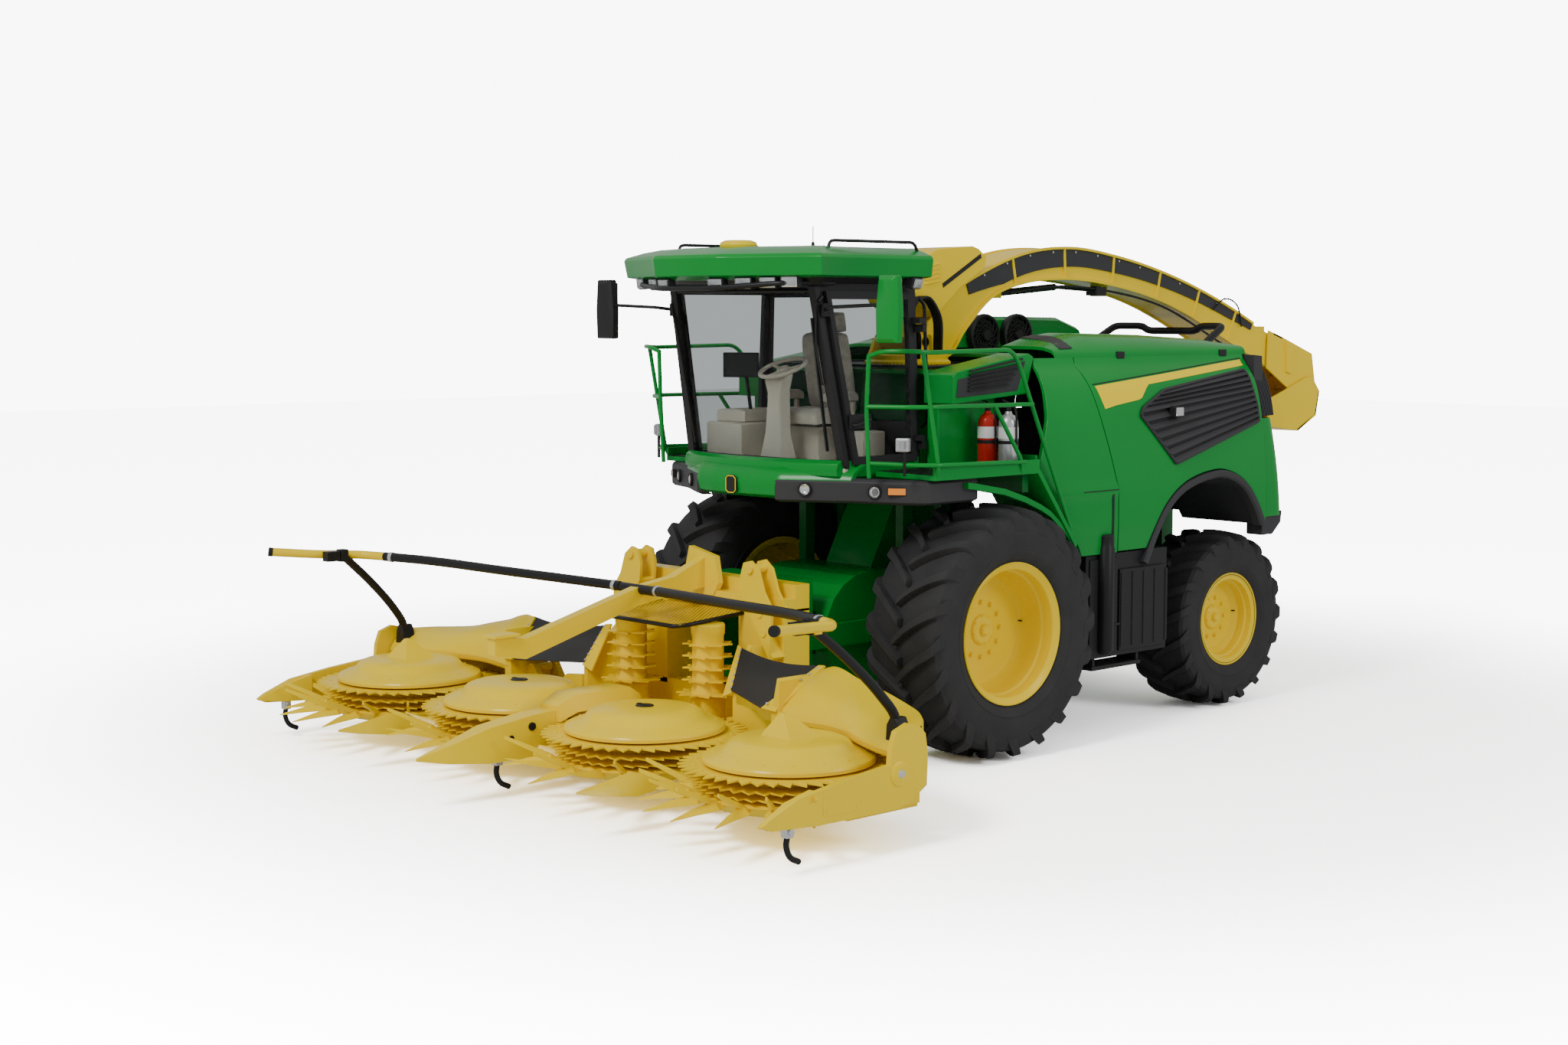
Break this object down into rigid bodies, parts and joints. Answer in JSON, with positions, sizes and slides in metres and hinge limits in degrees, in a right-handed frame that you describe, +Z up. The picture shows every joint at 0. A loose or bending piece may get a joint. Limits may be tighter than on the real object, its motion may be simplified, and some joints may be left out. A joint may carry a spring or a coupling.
{
  "type": "forage harvester",
  "caption": "Self-propelled forage harvester with a folding four-rotor header, steered rear wheels, cab, hood doors and a turning, rising discharge spout.",
  "frame": {"origin": "middle of the whole machine's footprint at ground level", "axes": "+Z up, -Y is the driving direction (the header is at -Y), +X is the machine's left side"},
  "size_m": [6.07, 10.415, 4],
  "materials": {
    "green_paint": "gloss green paint",
    "dark_green_paint": "satin dark green paint",
    "yellow_paint": "gloss yellow paint",
    "charcoal": "satin charcoal",
    "black_tube": "satin black",
    "tyre_rubber": "matte rubber",
    "clear_glass": "clear",
    "beige_cloth": "woven cloth",
    "bare_steel": "brushed"
  },
  "bodies": {
    "machine": {"chassis_frame": "dark_green_paint", "front_axle": "dark_green_paint", "rear_axle": "dark_green_paint", "engine": "charcoal", "cutterhead_housing": "green_paint", "crop_channel": "green_paint", "front_side_panel_left": "green_paint", "front_side_panel_right": "green_paint", "wheel_arch_left": "charcoal", "wheel_arch_right": "charcoal", "side_tank_left": "charcoal", "side_tank_right": "charcoal", "hood": "green_paint", "rear_frame_panel": "charcoal", "top_deck": "green_paint", "cab_floor": "charcoal", "cab_frame": "green_paint", "windshield": "clear_glass", "rear_window": "clear_glass", "side_window_right": "clear_glass", "cab_roof": "green_paint", "operator_seat": "beige_cloth", "light_bumper": "charcoal", "walkway_left": "green_paint", "walkway_right": "green_paint", "mirror_left": "charcoal", "mirror_right": "charcoal", "spout_cradle": "charcoal"},
    "service_door_left": {"service_door_left": "green_paint"},
    "service_door_right": {"service_door_right": "green_paint"},
    "cab_door": {"cab_door": "green_paint", "door_glass": "clear_glass"},
    "steering_rod": {"steering_rod": "bare_steel"},
    "spout_turret": {"spout_turret": "yellow_paint"},
    "spout": {"spout_arm": "yellow_paint", "sensor_cover": "yellow_paint"},
    "deflector_upper": {"deflector_upper": "yellow_paint"},
    "deflector_lower": {"deflector_lower": "yellow_paint"},
    "header": {"feed_roll_housing": "green_paint", "header_centre": "yellow_paint"},
    "front_wheel_left": {"tyre_front_left": "tyre_rubber", "rim_front_left": "yellow_paint"},
    "rear_wheel_left": {"tyre_rear_left": "tyre_rubber", "rim_rear_left": "yellow_paint"},
    "knuckle_left": {"knuckle_left": "charcoal"},
    "front_wheel_right": {"tyre_front_right": "tyre_rubber", "rim_front_right": "yellow_paint"},
    "rear_wheel_right": {"tyre_rear_right": "tyre_rubber", "rim_rear_right": "yellow_paint"},
    "knuckle_right": {"knuckle_right": "charcoal"},
    "wing_left": {"wing_left": "yellow_paint"},
    "push_bar_left": {"push_bar_left": "black_tube"},
    "rotor_inner_left": {"rotor_inner_left": "yellow_paint"},
    "rotor_outer_left": {"rotor_outer_left": "yellow_paint"},
    "feed_drum_left": {"feed_drum_left": "yellow_paint"},
    "wing_right": {"wing_right": "yellow_paint"},
    "push_bar_right": {"push_bar_right": "black_tube"},
    "rotor_inner_right": {"rotor_inner_right": "yellow_paint"},
    "rotor_outer_right": {"rotor_outer_right": "yellow_paint"},
    "feed_drum_right": {"feed_drum_right": "yellow_paint"}
  },
  "joints": [
    {"name": "front_wheel_spin_left", "type": "hinge", "parent": "machine", "child": "front_wheel_left", "pos_m": [1.31, -0.855, 0.99], "axis": [1, 0, 0], "continuous": true},
    {"name": "steer_left", "type": "hinge", "parent": "machine", "child": "knuckle_left", "pos_m": [0.7, 2.345, 0.77], "axis": [0, 0, 1], "range_deg": [-40, 40]},
    {"name": "rear_wheel_spin_left", "type": "hinge", "parent": "knuckle_left", "child": "rear_wheel_left", "pos_m": [1.05, 2.345, 0.77], "axis": [1, 0, 0], "continuous": true},
    {"name": "front_wheel_spin_right", "type": "hinge", "parent": "machine", "child": "front_wheel_right", "pos_m": [-1.31, -0.855, 0.99], "axis": [1, 0, 0], "continuous": true},
    {"name": "steer_right", "type": "hinge", "parent": "machine", "child": "knuckle_right", "pos_m": [-0.7, 2.345, 0.77], "axis": [0, 0, 1], "range_deg": [-40, 40]},
    {"name": "rear_wheel_spin_right", "type": "hinge", "parent": "knuckle_right", "child": "rear_wheel_right", "pos_m": [-1.05, 2.345, 0.77], "axis": [1, 0, 0], "continuous": true},
    {"name": "steering_rod_slide", "type": "slide", "parent": "machine", "child": "steering_rod", "axis": [1, 0, 0], "range_m": [-0.12, 0.12]},
    {"name": "header_lift", "type": "hinge", "parent": "machine", "child": "header", "pos_m": [0, -1.305, 0.95], "axis": [-1, 0, 0], "range_deg": [0, 18]},
    {"name": "wing_fold_left", "type": "hinge", "parent": "header", "child": "wing_left", "pos_m": [1.5, -2.995, 0.6], "axis": [0, -1, 0], "range_deg": [0, 90]},
    {"name": "push_bar_fold_left", "type": "hinge", "parent": "wing_left", "child": "push_bar_left", "pos_m": [2.75, -4.135, 1.48], "axis": [0, 1, 0], "range_deg": [0, 200]},
    {"name": "rotor_inner_spin_left", "type": "hinge", "parent": "header", "child": "rotor_inner_left", "pos_m": [0.75, -3.775, 0.43], "axis": [0, 0, 1], "continuous": true},
    {"name": "rotor_outer_spin_left", "type": "hinge", "parent": "wing_left", "child": "rotor_outer_left", "pos_m": [2.25, -3.775, 0.43], "axis": [0, 0, 1], "continuous": true},
    {"name": "feed_drum_spin_left", "type": "hinge", "parent": "header", "child": "feed_drum_left", "pos_m": [0.45, -2.925, 0.85], "axis": [0, 0, 1], "continuous": true},
    {"name": "wing_fold_right", "type": "hinge", "parent": "header", "child": "wing_right", "pos_m": [-1.5, -2.995, 0.6], "axis": [0, 1, 0], "range_deg": [0, 90]},
    {"name": "push_bar_fold_right", "type": "hinge", "parent": "wing_right", "child": "push_bar_right", "pos_m": [-2.75, -4.135, 1.48], "axis": [0, -1, 0], "range_deg": [0, 200]},
    {"name": "rotor_inner_spin_right", "type": "hinge", "parent": "header", "child": "rotor_inner_right", "pos_m": [-0.75, -3.775, 0.43], "axis": [0, 0, 1], "continuous": true},
    {"name": "rotor_outer_spin_right", "type": "hinge", "parent": "wing_right", "child": "rotor_outer_right", "pos_m": [-2.25, -3.775, 0.43], "axis": [0, 0, 1], "continuous": true},
    {"name": "feed_drum_spin_right", "type": "hinge", "parent": "header", "child": "feed_drum_right", "pos_m": [-0.45, -2.925, 0.85], "axis": [0, 0, 1], "continuous": true},
    {"name": "spout_turn", "type": "hinge", "parent": "machine", "child": "spout_turret", "pos_m": [0, -0.355, 3.05], "axis": [0, 0, 1], "range_deg": [-105, 105]},
    {"name": "spout_raise", "type": "hinge", "parent": "spout_turret", "child": "spout", "pos_m": [0, -0.415, 3.2], "axis": [1, 0, 0], "range_deg": [0, 25]},
    {"name": "deflector_upper_tilt", "type": "hinge", "parent": "spout", "child": "deflector_upper", "pos_m": [0, 4.465, 3.06], "axis": [-1, 0, 0], "range_deg": [-10, 30]},
    {"name": "deflector_lower_tilt", "type": "hinge", "parent": "deflector_upper", "child": "deflector_lower", "pos_m": [0, 5.045, 2.74], "axis": [1, 0, 0], "range_deg": [-10, 30]},
    {"name": "cab_door_swing", "type": "hinge", "parent": "machine", "child": "cab_door", "pos_m": [0.955, -1.17, 2.6], "axis": [0, 0, 1], "range_deg": [0, 26]},
    {"name": "service_door_lift_left", "type": "hinge", "parent": "machine", "child": "service_door_left", "pos_m": [1.232, 1.545, 3.07], "axis": [0, -1, 0], "range_deg": [0, 65]},
    {"name": "service_door_lift_right", "type": "hinge", "parent": "machine", "child": "service_door_right", "pos_m": [-1.232, 1.545, 3.07], "axis": [0, 1, 0], "range_deg": [0, 65]}
  ],
  "couplings": [
    {"joint": "steer_right", "follows": "steer_left", "ratio": 1},
    {"joint": "steering_rod_slide", "follows": "steer_left", "m_per_rad": -0.158},
    {"joint": "push_bar_fold_left", "follows": "wing_fold_left", "ratio": 2.2},
    {"joint": "push_bar_fold_right", "follows": "wing_fold_right", "ratio": 2.2}
  ]
}
